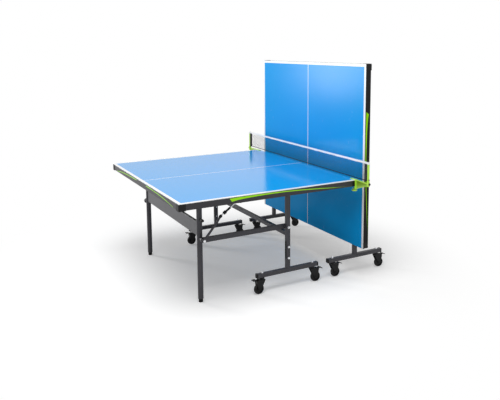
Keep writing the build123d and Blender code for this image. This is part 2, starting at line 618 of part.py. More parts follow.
def sleeve_on_stay(limits, diameter, bore):
    """Moulded sleeve round the stay, between two distances above the knee."""
    start, end = limits
    _, _, knee, along = stay_points()
    base = Plane(origin=in_stay_plane(knee + along * start), z_dir=Vector(along.X, 0, along.Y))
    sleeve = extrude(base * Circle(diameter / 2), end - start)
    sleeve = fillet(sleeve.edges().filter_by(GeomType.CIRCLE), min(SLEEVE_EDGE, (diameter - bore) / 3))
    return sleeve - extrude(base * Circle(bore / 2), 3 * (end - start), both=True)


def stay_tube():
    hook, shin, knee, along = stay_points()
    start = hook + (shin - hook).normalized() * (HOOK_RADIUS + STAY_TUBE / 2)
    end = knee + along * STAY_TUBE_END
    points = [in_stay_plane(point) for point in (start, shin, knee, end)]
    path = FilletPolyline(*points, radius=STAY_BEND)
    tube = sweep(Plane(origin=path @ 0, z_dir=path % 0) * Circle(STAY_TUBE / 2), path=path)
    head = hull_of((*LEG_LINK_PIVOT, HOOK_RADIUS), (start.X, start.Y, STAY_TUBE / 2))
    plate = side_plate(head, (-STAY_Y - STAY_PLATE / 2, -STAY_Y + STAY_PLATE / 2))
    way_out = Vector(1, 0).rotate(Axis.Z, HOOK_OPENING) * (2 * HOOK_RADIUS)
    mouth = hull_of((*LEG_LINK_PIVOT, PIVOT_BOLT / 2 + 2 * CLEARANCE),
                    (hook.X + way_out.X, hook.Y + way_out.Y, PIVOT_BOLT * 0.75))
    return tube + (plate - side_plate(mouth, (-STAY_Y - STAY_PLATE, -STAY_Y + STAY_PLATE)))


def stay_tubes():
    """The bent tubes, and the moulded sleeves round their knees, their ends and the rods."""
    tube = stay_tube()
    knee_sleeve = sleeve_on_stay(KNEE_SLEEVE, SLEEVE_DIAMETER, STAY_TUBE) - tube
    lock_sleeve = sleeve_on_stay(LOCK_SLEEVE, SLEEVE_DIAMETER, STAY_ROD)
    grip_sleeve = sleeve_on_stay(GRIP_SLEEVE, GRIP_DIAMETER, STAY_ROD)
    sleeves = both_sides(knee_sleeve) + both_sides(lock_sleeve) + both_sides(grip_sleeve)
    return both_sides(tube) + sleeves


def stay_rods():
    """Light steel rod from the end of the stay's tube to its eye under the top."""
    _, _, knee, along = stay_points()
    reach = (Vector(*STAY_PIVOT) - knee).length
    base = Plane(origin=in_stay_plane(knee + along * STAY_TUBE_END), z_dir=Vector(along.X, 0, along.Y))
    bar = extrude(base * Circle(STAY_ROD / 2), reach - STAY_TUBE_END)
    bar += rod(STAY_ROD, *STAY_PIVOT, (-STAY_Y - STAY_PLATE, -STAY_Y + STAY_PLATE / 2))
    bar -= rod(LEG_PIN / 2 + RUNNING_FIT, *STAY_PIVOT, (-STAY_Y - 4 * STAY_PLATE, -STAY_Y + 4 * STAY_PLATE))
    return both_sides(bar)


# ---------------------------------------------------------------- casters
def caster_fork():
    """Swivel fork: two teardrop plates under a crown, with the axle through them."""
    axle = (CASTER_TRAIL, WHEEL_RADIUS)
    back = -FORK_BACK
    front = PEDAL_PIVOT[0] - CROWN_SETBACK
    top = FORK_TOP - FORK_CORNER
    profile = hull_of((back + FORK_CORNER, top, FORK_CORNER), (front, top, FORK_CORNER),
                      (*PEDAL_PIVOT, FORK_LIP), (*axle, WHEEL_BORE * 1.6))
    cheek = side_plate(profile, (-FORK_OUTER, -FORK_INNER))
    cheek -= rod(WHEEL_BORE / 2 + RUNNING_FIT, *axle, (-FORK_OUTER - 1, -FORK_INNER + 1))
    cheek -= rod(PEDAL_PIN / 2 + RUNNING_FIT, *PEDAL_PIVOT, (-FORK_OUTER - 1, -FORK_INNER + 1))
    crown = block((back + FORK_CORNER, front), (-FORK_OUTER, FORK_OUTER),
                  (FORK_TOP - FORK_CROWN, FORK_TOP))
    crown -= Cylinder(KINGPIN / 2 + CLEARANCE, 4 * FORK_TOP)
    fork = cheek + mirror(cheek, Plane.XZ) + crown
    bolt = rod(WHEEL_BORE / 2, *axle, (-FORK_OUTER, FORK_OUTER))
    for side in (-1, 1):
        limits = sorted((side * FORK_OUTER, side * (FORK_OUTER + FLAT_HEAD)))
        bolt += rod(WHEEL_BORE * 0.8, *axle, limits)
    return [fork, bolt]


def caster_wheel():
    """Wheel with a rounded tread, a dished web and a hub."""
    half = WHEEL_WIDTH / 2
    hub = WHEEL_BORE * 1.1
    dish = WHEEL_RADIUS * 0.72
    bore = WHEEL_BORE / 2 + RUNNING_FIT
    shoulder = WHEEL_RADIUS - WHEEL_CROWN
    web = half - WHEEL_WEB_DEPTH
    hub_face = half + WHEEL_HUB_PROUD
    side = [(bore, hub_face), (hub, hub_face), (hub + 1, web),
            (dish - 1, web), (dish, half), (shoulder, half)]
    outline = Polyline(*side)
    other = Polyline(*[(radius, -depth) for radius, depth in side])
    tread = ThreePointArc((shoulder, half), (WHEEL_RADIUS, 0), (shoulder, -half))
    shut = Line((bore, hub_face), (bore, -hub_face))
    face = Plane.XZ * make_face([outline, tread, other, shut])
    return [Pos(CASTER_TRAIL, 0, WHEEL_RADIUS) * Rot(90, 0, 0) * revolve(face, Axis.Z)]


def brake_pedal():
    """Foot brake: a boss on its pin, a shoe over the wheel and a cranked tread."""
    pivot, knee, tip = Vector(*PEDAL_PIVOT), Vector(*PEDAL_KNEE), Vector(*PEDAL_TIP)
    half = PEDAL_THICKNESS / 2
    arm = hull_of((pivot.X, pivot.Y, PEDAL_PIN), (knee.X, knee.Y, half))
    tread = hull_of((knee.X, knee.Y, half), (tip.X - half, tip.Y, half))
    inside = FORK_INNER - PEDAL_PLAY
    pedal = side_plate(arm, (-inside, inside)) + side_plate(tread, (-PEDAL_TREAD / 2, PEDAL_TREAD / 2))
    drop = math.sqrt(WHEEL_RADIUS ** 2 - (pivot.X - CASTER_TRAIL) ** 2)
    shoe = (pivot.X - SHOE_LENGTH[0], pivot.X + SHOE_LENGTH[1])
    pedal += block(shoe, (-inside, inside), (WHEEL_RADIUS + drop + SHOE_LIFT, pivot.Y))
    return [pedal - rod(PEDAL_PIN / 2 + RUNNING_FIT, *PEDAL_PIVOT, (-FORK_OUTER, FORK_OUTER))]


def pedal_pin():
    end = FORK_OUTER + SIDE_PLAY
    return rod(PEDAL_PIN / 2, *PEDAL_PIVOT, (-end, end))


# ---------------------------------------------------------------- net
def net_bracket():
    """Narrow clamp over the edge of the top, with a ribbed arm, a hub and an open post."""
    x = (NET_X - CLAMP_WIDTH / 2, NET_X + CLAMP_WIDTH / 2)
    web = (-CLAMP_WEB - CLAMP_PLATE, -CLAMP_WEB)
    top = SURFACE_HEIGHT + CLEARANCE
    clamp = block(x, web, (CLAMP_FOOT, top + CLAMP_PLATE))
    clamp += block(x, (web[0], -HALF_WIDTH + TOP_JAW), (top, top + CLAMP_PLATE))
    clamp = fillet(clamp.edges().filter_by(Axis.Z).sort_by(Axis.Y)[-2:], CLAMP_CORNER)
    clamp += block(x, (web[0], -HALF_WIDTH + CLAMP_JAW), (CLAMP_FOOT, CLAMP_BOTTOM))
    clamp -= Pos(NET_X, -HALF_WIDTH + CLAMP_JAW / 2, 0) * post(
        SCREW_DIAMETER / 2 + RUNNING_FIT, (CLAMP_FOOT - 1, CLAMP_BOTTOM + 1))
    hub = Pos(NET_X, -POST_Y, 0) * post(HUB_DIAMETER / 2, (HUB_TOP - HUB_HEIGHT, HUB_TOP))
    return clamp + bracket_arm() + hub + net_post()


def bracket_arm():
    """Gusset from the clamp to the hub, with a raised rim round a thin web."""
    root = -CLAMP_WEB - CLAMP_PLATE / 2
    outline = [(root, CLAMP_FOOT), (root, SURFACE_HEIGHT + CLAMP_PLATE), (-POST_Y, SURFACE_HEIGHT),
               (-POST_Y, SURFACE_HEIGHT - ARM_END_HEIGHT)]
    face = make_face(Polyline(*outline, close=True))
    arm = extrude(Plane.YZ * face, ARM_WIDTH / 2, both=True)
    pocket = extrude(Plane.YZ * offset(face, -ARM_RIM, kind=Kind.INTERSECTION), ARM_WIDTH)
    for start in (ARM_WEB / 2, -ARM_WEB / 2 - ARM_WIDTH):
        arm -= Pos(start, 0, 0) * pocket
    return Pos(NET_X, 0, 0) * arm


def net_post():
    """Post shell, a slit tube open towards the net."""
    shell = Circle(POST_RADIUS) - Circle(POST_RADIUS - POST_WALL)
    shell -= Pos(0, POST_RADIUS) * Rectangle(POST_MOUTH, POST_DIAMETER)
    return Pos(NET_X, -POST_Y, HUB_TOP) * extrude(shell, NET_TOP - POST_BELOW_NET - HUB_TOP)


def post_core():
    """Black profile keyed into the post, with a slot that grips the end of the net."""
    core = Circle(POST_RADIUS - POST_WALL - CLEARANCE)
    core += Pos(0, POST_RADIUS / 2) * Rectangle(POST_MOUTH - 2 * CLEARANCE, POST_RADIUS + 4 * CORE_GAP)
    core += Pos(0, POST_RADIUS + CORE_GAP + CORE_DEPTH / 2) * RectangleRounded(
        CORE_WIDTH, CORE_DEPTH, CORE_CORNER)
    core -= Pos(0, POST_RADIUS + CORE_GAP + CORE_DEPTH) * Rectangle(NET_SLOT, 2 * NET_GRIP)
    height = NET_TOP - NET_TAPE - HUB_TOP - 2 * CLEARANCE
    return Pos(NET_X, -POST_Y, HUB_TOP + CLEARANCE) * extrude(core, height)


def net_mesh():
    bottom = SURFACE_HEIGHT + NET_GAP + 2 * CLAMP_PLATE
    half = NET_THREAD / 2
    mesh = block((NET_X - half, NET_X + half), (-NET_END, NET_END), (bottom, NET_TOP - NET_TAPE))
    cord_end = CORE_INNER - SIDE_PLAY
    return [mesh + rod(2 * NET_THREAD, NET_X, bottom, (-cord_end, cord_end))]


def net_tape():
    """Tape along the top of the net, with a pocket over the head of each post."""
    half = NET_TAPE_THICKNESS / 2
    height = (NET_TOP - NET_TAPE, NET_TOP)
    tape = block((NET_X - half, NET_X + half), (-POST_Y, POST_Y), height)
    tape = fillet(tape.edges().filter_by(Axis.Y).sort_by(Axis.Z)[-2:], half * 0.9)
    for pocket in both_sides(Pos(NET_X, -POST_Y, 0) * post(POST_RADIUS + half, height)):
        tape += pocket
    room = post(POST_RADIUS + CLEARANCE, (0, NET_TOP - POST_BELOW_NET + CLEARANCE))
    for hollow in both_sides(Pos(NET_X, -POST_Y, 0) * room):
        tape -= hollow
    return [tape]


def clamp_screw(side):
    """Thumb screw that presses up against the block at the end of the apron."""
    knob_top = CLAMP_FOOT - KNOB_NECK
    knob = post(KNOB_DIAMETER / 2, (knob_top - KNOB_HEIGHT, knob_top))
    knob = fillet(knob.edges().filter_by(GeomType.CIRCLE), KNOB_EDGE)
    flute = Pos(KNOB_DIAMETER / 2 + FLUTE_OFFSET, 0, 0) * post(FLUTE_RADIUS, (0, SURFACE_HEIGHT))
    for index in range(KNOB_FLUTES):
        knob -= Rot(0, 0, 360 / KNOB_FLUTES * index) * flute
    stud_top = APRON_BOTTOM - CLEARANCE
    stud = post(SCREW_DIAMETER / 2, (knob_top, stud_top))
    pad = post(SCREW_DIAMETER, (stud_top - SCREW_PAD, stud_top))
    return [Pos(NET_X, side * (HALF_WIDTH - CLAMP_JAW / 2), 0) * (knob + stud + pad)]


# ---------------------------------------------------------------- folding and placing
def fold_top(shape, angle):
    return turned(shape, TOP_PIVOT, angle)


def fold_links(shape, angle):
    return turned(shape, LINK_PIVOT, angle)


def fold_legs(shape, angle):
    """The legs stay upright while their pivot follows the top."""
    turn = math.radians(angle)
    dx = LEG_SETBACK * (1 - math.cos(turn))
    dz = LEG_SETBACK * math.sin(turn)
    return Pos(dx, 0, dz) * shape


def fold_stays(shape, angle):
    return turned(turned(shape, STAY_PIVOT, angle * STAY_LIFT / 90), TOP_PIVOT, angle)


def stand_still(shape, angle):
    return shape


HALF_PIECES = {
    "playing_panel": (playing_panel, fold_top),
    "aprons": (aprons, fold_top),
    "corner_caps": (corner_caps, fold_top),
    "under_frame": (under_frame, fold_top),
    "carriage_frame": (carriage_frame, stand_still),
    "carriage_plastics": (carriage_plastics, stand_still),
    "carriage_bolts": (carriage_bolts, stand_still),
    "leg_tubes": (leg_tubes, fold_legs),
    "leg_panel": (leg_panel, fold_legs),
    "leg_plastics": (leg_plastics, fold_legs),
    "levelling_foot_near": (lambda: levelling_foot(-1), fold_legs),
    "levelling_foot_far": (lambda: levelling_foot(1), fold_legs),
    "link_bars": (lambda: both_sides(link_bar()), fold_links),
    "stay_tubes": (stay_tubes, fold_stays),
    "stay_rods": (stay_rods, fold_stays),
}

NET_PIECES = {
    "net_brackets": lambda: both_sides(net_bracket()),
    "net_post_cores": lambda: both_sides(post_core()),
    "net_mesh": net_mesh,
    "net_tape": net_tape,
    "clamp_screw_near": lambda: clamp_screw(-1),
    "clamp_screw_far": lambda: clamp_screw(1),
}

# half, end of the base bar, side, heading of the trailing wheel in degrees, pedal raised
CASTERS = (
    ("a", "outer", "near", 184, True), ("a", "net", "near", -4, False),
    ("a", "outer", "far", 177, True), ("a", "net", "far", 6, False),
    ("b", "net", "near", 3, False), ("b", "outer", "near", 0, False),
    ("b", "net", "far", -8, False), ("b", "outer", "far", 4, False),
)


def place_half_a(shape):
    return Pos(HALF_A_X, 0, 0) * shape


def place_half_b(shape):
    """Half B is the same half facing the other way."""
    return Pos(HALF_B_X, 0, 0) * mirror(shape, Plane.YZ)


def place_caster(shape, half, end, side, heading):
    middle = HALF_A_X if half == "a" else HALF_B_X
    outwards = -1 if half == "a" else 1
    x = middle + STEM_SPREAD * (outwards if end == "outer" else -outwards)
    y = UPRIGHT_Y * (-1 if side == "near" else 1)
    return Pos(x, y, 0) * Rot(0, 0, heading) * shape


def write(node, shapes):
    solids = [solid for shape in shapes for solid in shape.solids()]
    export_step(Compound(solids), f"parts/{node}.step")


def main():
    os.makedirs("parts", exist_ok=True)
    for name, (make, fold) in HALF_PIECES.items():
        shapes = make()
        write(f"{name}_a", [place_half_a(shape) for shape in shapes])
        write(f"{name}_b", [place_half_b(fold(shape, 90)) for shape in shapes])
    for name, make in NET_PIECES.items():
        write(name, [place_half_a(shape) for shape in make()])
    fork, wheel, pedal = caster_fork() + [pedal_pin()], caster_wheel(), brake_pedal()
    for half, end, side, heading, raised in CASTERS:
        where = (half, end, side, heading)
        label = f"{half}_{end}_{side}"
        pose = [turned(piece, PEDAL_PIVOT, -PEDAL_RAISED if raised else 0) for piece in pedal]
        write(f"caster_fork_{label}", [place_caster(piece, *where) for piece in fork])
        write(f"caster_wheel_{label}", [place_caster(piece, *where) for piece in wheel])
        write(f"caster_brake_{label}", [place_caster(piece, *where) for piece in pose])


main()
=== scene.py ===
import math

import bmesh
import bpy
from mathutils import Matrix, Vector


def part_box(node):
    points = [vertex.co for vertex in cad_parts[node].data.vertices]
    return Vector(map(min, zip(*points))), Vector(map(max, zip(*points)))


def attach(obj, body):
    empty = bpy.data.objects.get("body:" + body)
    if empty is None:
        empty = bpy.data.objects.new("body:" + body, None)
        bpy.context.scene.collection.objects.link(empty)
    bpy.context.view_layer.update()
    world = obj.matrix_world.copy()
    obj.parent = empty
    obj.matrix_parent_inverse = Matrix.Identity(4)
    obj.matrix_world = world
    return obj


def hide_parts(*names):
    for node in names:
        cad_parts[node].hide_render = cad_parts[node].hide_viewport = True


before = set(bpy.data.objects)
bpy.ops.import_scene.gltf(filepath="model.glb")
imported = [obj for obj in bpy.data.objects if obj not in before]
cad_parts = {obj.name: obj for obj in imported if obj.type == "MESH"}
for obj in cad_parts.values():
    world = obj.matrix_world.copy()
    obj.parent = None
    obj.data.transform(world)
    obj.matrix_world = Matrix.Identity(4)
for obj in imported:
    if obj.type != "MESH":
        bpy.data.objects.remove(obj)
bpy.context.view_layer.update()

# The finishes, the net and the small fittings of a full-size folding ping pong table.
# Everything is in metres.  A fitting is modelled once, on the near side of an open half with
# x = 0 at the middle of its carriage, and then placed on both sides of both halves.

CORNERS = {node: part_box(node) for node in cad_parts}

# ---------------------------------------------------------------- sizes of the table
PANEL_LOW, PANEL_HIGH = CORNERS["playing_panel_a"]
HALF_WIDTH = PANEL_HIGH[1]
HALF_LENGTH = PANEL_HIGH[0] - PANEL_LOW[0]
PANEL_TOP = PANEL_HIGH[2]
PANEL_THICKNESS = PANEL_TOP - PANEL_LOW[2]
APRON_TOP = PANEL_TOP - PANEL_THICKNESS
APRON_HEIGHT = APRON_TOP - CORNERS["aprons_a"][0][2]
SIDE_LINE = 0.020
CENTRE_LINE = 0.006

NET_EDGE_A = PANEL_HIGH[0]
OUTER_EDGE_A = PANEL_LOW[0]
NET_EDGE_B = CORNERS["playing_panel_b"][0][2]
OUTER_EDGE_B = CORNERS["playing_panel_b"][1][2]
FACE_B = CORNERS["playing_panel_b"][0][0]

# the folding linkage of an open half
PIVOT_DEPTH = 0.026
LEG_SETBACK = 0.638
LINK_DROP = 0.285
PIVOT_HEIGHT = PANEL_TOP - PIVOT_DEPTH
LINK_HEIGHT = PIVOT_HEIGHT - LINK_DROP
LINK_NUT_Y = 0.6285
LINK_NUT_ACROSS = 0.014
LINK_NUT_HEIGHT = 0.008

# the safety stays of an open half, and the angle by which they swing as the half folds up
STAY_FOLD = 38
STAY_Y = 0.617
STAY_PIVOT = Vector((-0.383, 0, 0.692))
STAY_KNEE = Vector((-0.518, 0, 0.597))
STAY_TUBE_RADIUS = 0.008
STAY_ROD_RADIUS = 0.0045
SLEEVE_EDGE = 0.0016
GRIP_RIDGE = 0.0009
STAY_SLEEVES = (
    # start and end above the knee, inner and outer radius, grip rings
    (-0.0063, 0.0103, STAY_TUBE_RADIUS, 0.0108, 0),
    (0.0297, 0.0525, STAY_ROD_RADIUS, 0.0108, 2),
    (0.0527, 0.0923, STAY_ROD_RADIUS, 0.0068, 7),
)

# the net, its posts and the arms of its brackets
NET_X = (CORNERS["net_mesh"][0][0] + CORNERS["net_mesh"][1][0]) / 2
NET_TOP = CORNERS["net_tape"][1][2]
NET_BOTTOM = PANEL_TOP + 0.018
NET_LENGTH = CORNERS["net_mesh"][1][1] - CORNERS["net_mesh"][0][1]
NET_HEIGHT = CORNERS["net_mesh"][1][2] - NET_BOTTOM
NET_PITCH = 0.008
NET_THREAD = 0.0015
POST_Y = 0.9055
POST_RADIUS = 0.008
HUB_RADIUS = 0.011
ARM_WEB = 0.004
ARM_RIM = 0.012
TAPE_HEIGHT = 0.015
TAPE_HALF = 0.0015
TAPE_END = POST_Y - POST_RADIUS + 0.001
TAPE_STEPS = 180
STITCH_DROP = 0.0118
CORD_END = 0.8721
CORD_RADIUS = 0.003
CORD_STEPS = 220
KNOB_SINK = 0.0006
HUB_KNOBS = (
    # radius, height above the floor, depth
    (0.0085, PANEL_TOP - 0.004, 0.007),
    (0.0045, PANEL_TOP + 0.026, 0.005),
)

# The lime stripes.  On a long rail, places are shares of its length from the outer end; on the
# outer rail they are shares of its half length from the middle.  Levels are shares of its height.
PAINT_SKIN = 0.0006
STRIPE_START = 0.342
STRIPE_SLANT = 0.75
STRIPE_MIDDLE = [(0.25, 0.42), (0.29, 0.27), (0.36, 0.18), (0.44, 0.15), (0.55, 0.16),
                 (0.64, 0.28), (0.72, 0.42), (0.80, 0.58), (0.92, 0.86)]
STRIPE_WIDTH = [(0.25, 0.31), (0.29, 0.21), (0.36, 0.145), (0.44, 0.11), (0.55, 0.075),
                (0.66, 0.07), (0.76, 0.065), (0.83, 0.045), (0.90, 0.0)]
ARC_START = 0.145
ARC_END = 0.865
ARC_MIDDLE = [(0.14, 0.21), (0.30, 0.23), (0.47, 0.31), (0.63, 0.46), (0.75, 0.64), (0.86, 0.92)]
ARC_WIDTH = [(0.14, 0.07), (0.45, 0.075), (0.63, 0.065), (0.76, 0.05), (0.86, 0.03), (0.87, 0.0)]

# ---------------------------------------------------------------- colours, as linear light
BLACK = (0, 0, 0, 1)
WHITE = (1, 1, 1, 1)
FLOOR_PALE = (0.86, 0.86, 0.86, 1)
FLOOR_BOUNCE = (0.2, 0.2, 0.2, 1)
COURT_BLUE = (0.0, 0.32, 0.76, 1)
LINE_WHITE = (0.93, 0.935, 0.94, 1)
BACKING_GREY = (0.030, 0.030, 0.033, 1)
ANTHRACITE = (0.062, 0.061, 0.072, 1)
APRON_GREY = (0.039, 0.0375, 0.042, 1)
LEG_PANEL_GREY = (0.115, 0.115, 0.125, 1)
DUST = (0.16, 0.155, 0.15, 1)
LIME = (0.37, 0.87, 0.0, 1)
PALE_LIME = (0.50, 0.86, 0.06, 1)
MOULDED_BLACK = (0.006, 0.006, 0.0065, 1)
TYRE_BLACK = (0.009, 0.009, 0.0095, 1)
ZINC = (0.76, 0.77, 0.79, 1)
NET_BLACK = (0.006, 0.007, 0.012, 1)
TAPE_WHITE = (0.93, 0.93, 0.92, 1)


# ---------------------------------------------------------------- shader toolkit
class Value:
    """An output of a node.  The usual operators add the Math nodes."""

    def __init__(self, nodes, socket):
        self.nodes = nodes
        self.socket = socket

    def _math(self, operation, *operands):
        return self.nodes.node("Math", {"operation": operation}, dict(enumerate(operands)))

    def __add__(self, other):
        return self._math("ADD", self, other)

    def __radd__(self, other):
        return self._math("ADD", other, self)

    def __sub__(self, other):
        return self._math("SUBTRACT", self, other)

    def __rsub__(self, other):
        return self._math("SUBTRACT", other, self)

    def __mul__(self, other):
        return self._math("MULTIPLY", self, other)

    def __rmul__(self, other):
        return self._math("MULTIPLY", other, self)

    def __truediv__(self, other):
        return self._math("DIVIDE", self, other)

    def __rtruediv__(self, other):
        return self._math("DIVIDE", other, self)

    def __abs__(self):
        return self._math("ABSOLUTE", self)

    def larger(self, other):
        return self._math("MAXIMUM", self, other)

    def above(self, edge, blur):
        """1 where the value is above an edge, 0 below it, with a soft step between."""
        inputs = {"Value": self - edge, "From Min": -blur, "From Max": blur}
        return self.nodes.node("MapRange", {"interpolation_type": "SMOOTHSTEP"}, inputs)

    def below(self, edge, blur):
        return 1 - self.above(edge, blur)

    def wave(self, pitch):
        """A smooth ripple between 0 and 1."""
        return 0.5 + 0.5 * self._math("SINE", self * (math.tau / pitch))


class Nodes:
    """The nodes of the world or of a material."""

    def __init__(self, holder):
        holder.use_nodes = True
        self.tree = holder.node_tree

    def feed(self, node, socket, value):
        if isinstance(value, Value):
            self.tree.links.new(value.socket, node.inputs[socket])
        else:
            node.inputs[socket].default_value = value

    def node(self, kind, settings, inputs, output=0):
        """A new node from its type, its settings or ramp stops, and its sockets' values or links."""
        node = self.tree.nodes.new("ShaderNode" + kind)
        for setting, value in settings.items():
            if setting == "stops":
                self.set_stops(node.color_ramp, value)
            else:
                setattr(node, setting, value)
        for socket, value in inputs.items():
            self.feed(node, socket, value)
        return Value(self, node.outputs[output])

    def set_stops(self, ramp, stops):
        """Rounds a ramp through (place, level) stops."""
        ramp.interpolation = "B_SPLINE"
        while len(ramp.elements) < len(stops):
            ramp.elements.new(0.5)
        for element, (place, level) in zip(ramp.elements, stops):
            element.position = place
            element.color = (level, level, level, 1)

    def blend(self, share, first, second):
        """Mixes two colours; share 0 is all the first one."""
        return self.node("Mix", {"data_type": "RGBA"}, {0: share, 6: first, 7: second}, 2)

    def seen_directly(self):
        """1 where the camera sees a surface itself or its mirror image, 0 where it only lights others."""
        camera, glossy, transmission = (
            self.node("LightPath", {}, {}, f"Is {kind} Ray") for kind in ("Camera", "Glossy", "Transmission"))
        return camera.larger(glossy).larger(transmission)


class Finish(Nodes):
    """A material built up round its Principled shader."""

    def __init__(self, name, roughness=0.5, metallic=0.0, **constants):
        self.material = bpy.data.materials.new(name)
        super().__init__(self.material)
        self.shader = self.tree.nodes["Principled BSDF"]
        self.feed(self.shader, "Roughness", roughness)
        self.feed(self.shader, "Metallic", metallic)
        for socket, value in constants.items():
            self.feed(self.shader, socket.replace("_", " ").title().replace("Ior", "IOR"), value)

    def spot(self):
        return self.node("TexCoord", {}, {}, "Object")

    def place(self):
        """Where a point lies on the object, as x, y and z."""
        spot = self.spot()
        return [self.node("SeparateXYZ", {}, {0: spot}, axis) for axis in "XYZ"]

    def stretched(self, scale):
        """Object coordinates scaled apart, for a grain that runs one way."""
        return self.node("Mapping", {}, {"Vector": self.spot(), "Scale": scale})

    def noise(self, scale, detail=3.0, roughness=0.55, vector=None):
        inputs = {"Vector": vector or self.spot(), "Scale": scale, "Detail": detail, "Roughness": roughness}
        return self.node("TexNoise", {}, inputs, "Fac")

    def pits(self, scale):
        return self.node("TexVoronoi", {}, {"Vector": self.spot(), "Scale": scale}, "Distance")

    def curve(self, value, stops):
        """A smooth curve from 0 to 1 through (place, level) stops."""
        return self.node("ValToRGB", {"stops": stops}, {"Fac": value})

    def tint(self, colour, level):
        """A colour made lighter or darker by a value about 1."""
        grey = self.node("CombineXYZ", {}, {0: level, 1: level, 2: level})
        settings = {"data_type": "RGBA", "blend_type": "MULTIPLY"}
        return self.node("Mix", settings, {0: 1.0, 6: colour, 7: grey}, 2)

    def bump(self, height, distance):
        """Relief as deep as the distance where the height is 1."""
        self.feed(self.shader, "Normal", self.node("Bump", {}, {"Height": height, "Distance": distance}))

    def colour(self, value):
        self.feed(self.shader, "Base Color", value)

    def roughness(self, value):
        self.feed(self.shader, "Roughness", value)


# ---------------------------------------------------------------- camera, floor and light
CAMERA_PLACE = (-2.136, -4.179, 1.711)
CAMERA_ANGLES = (82.2, 0.14, -30.0)
CAMERA_LENS = 43.24
CAMERA_SHIFT = (-0.057, -0.14)
AMBIENT = 0.26
FLOOR_LIFT = 0.26
FLOOR_REACH = 40
SHADE_CENTRE = (-0.25, 0, 0)
SHADE_NEAR = 1.0
SHADE_FAR = 2.1
LAMPS = (
    # name, place, the point that it faces, diameter, watts
    ("overhead", (-1.3, -1.5, 4.9), (-0.3, 0, 0.5), 4.2, 200),
    ("left window", (-3.4, 5.0, 1.45), (0.5, -0.3, 1.3), 1.3, 125),
)


def linked(name, data):
    """A new object in the scene."""
    thing = bpy.data.objects.new(name, data)
    bpy.context.scene.collection.objects.link(thing)
    return thing


def set_camera():
    camera = linked("camera", bpy.data.cameras.new("camera"))
    camera.location = CAMERA_PLACE
    camera.rotation_euler = [math.radians(angle) for angle in CAMERA_ANGLES]
    camera.data.sensor_width = 36
    camera.data.lens = CAMERA_LENS
    camera.data.shift_x, camera.data.shift_y = CAMERA_SHIFT
    bpy.context.scene.camera = camera


def set_light(name, place, target, size, power):
    lamp = bpy.data.lights.new(name, "AREA")
    lamp.shape = "DISK"
    lamp.size = size
    lamp.energy = power
    holder = linked(name, lamp)
    holder.location = place
    holder.rotation_euler = (Vector(target) - Vector(place)).to_track_quat("-Z", "Y").to_euler()


def set_world():
    """White where it is seen, and a soft grey light on everything."""
    world = bpy.data.worlds.new("studio")
    bpy.context.scene.world = world
    studio = Nodes(world)
    background = studio.tree.nodes["Background"]
    studio.feed(background, "Strength", 1.0)
    grey = (AMBIENT, AMBIENT, AMBIENT, 1)
    studio.feed(background, "Color", studio.blend(studio.seen_directly(), grey, WHITE))


def floor_paint():
    """Pale paint, as white as the backdrop where nothing shades it, which fades into the backdrop."""
    paint = Finish("floor", roughness=0.9, specular_ior_level=0.1, emission_strength=1.0)
    seen = paint.seen_directly()
    paint.colour(paint.blend(seen, FLOOR_BOUNCE, FLOOR_PALE))
    lift = (FLOOR_LIFT, FLOOR_LIFT, FLOOR_LIFT, 1)
    paint.feed(paint.shader, "Emission Color", paint.blend(seen, BLACK, lift))
    ends = {0: paint.spot(), 1: SHADE_CENTRE}
    distance = paint.node("VectorMath", {"operation": "DISTANCE"}, ends, "Value")
    inputs = {"Value": distance, "From Min": SHADE_NEAR, "From Max": SHADE_FAR}
    fade = paint.node("MapRange", {"interpolation_type": "SMOOTHSTEP"}, inputs)
    backdrop = paint.node("Emission", {}, {"Color": WHITE})
    matt = Value(paint, paint.shader.outputs["BSDF"])
    both = paint.node("MixShader", {}, {0: fade, 1: matt, 2: backdrop})
    paint.feed(paint.tree.nodes["Material Output"], "Surface", both)
    return paint.material


def set_floor():
    bm = bmesh.new()
    bmesh.ops.create_grid(bm, x_segments=1, y_segments=1, size=FLOOR_REACH)
    mesh = bpy.data.meshes.new("floor")
    bm.to_mesh(mesh)
    bm.free()
    mesh.materials.append(floor_paint())
    linked("floor", mesh)


bpy.context.scene.view_settings.view_transform = "Standard"
set_camera()
set_world()
set_floor()
for lamp in LAMPS:
    set_light(*lamp)


# ---------------------------------------------------------------- finishes
def court(name, measure, mirror, gloss, rim):
    """Blue surface with white lines, and a dark backing from rim down.

    measure gives the distances from the net edge and below the top.
    """
    finish = Finish(name, specular_ior_level=mirror)
    x, y, z = finish.place()
    from_net, below_top = measure(x, z)
    blur = 0.0003
    lines = abs(y).above(HALF_WIDTH - SIDE_LINE, blur)
    lines = lines.larger(from_net.above(HALF_LENGTH - SIDE_LINE, blur))
    lines = lines.larger(abs(y).below(CENTRE_LINE / 2, blur))
    cloud = finish.noise(2.2, detail=2)
    speck = finish.noise(900, detail=1)
    blue = finish.tint(COURT_BLUE, 0.95 + 0.07 * cloud + 0.04 * speck)
    marks = finish.noise(26, detail=4, roughness=0.7).above(0.68, 0.05) * 0.05
    blue = finish.blend(marks, blue, LINE_WHITE)
    white = finish.tint(LINE_WHITE, 0.96 + 0.05 * speck)
    face = finish.blend(lines, blue, white)
    under = below_top.above(rim, 0.0002)
    grain = finish.noise(240, detail=3)
    backing = finish.tint(BACKING_GREY, 0.8 + 0.4 * grain)
    finish.colour(finish.blend(under, face, backing))
    finish.roughness(gloss + 0.05 * cloud + 0.03 * lines + 0.35 * under)
    peel = finish.noise(420, detail=2) * 0.6 + lines * 0.5 + under * grain * 3
    finish.bump(peel, 0.00003)
    return finish.material


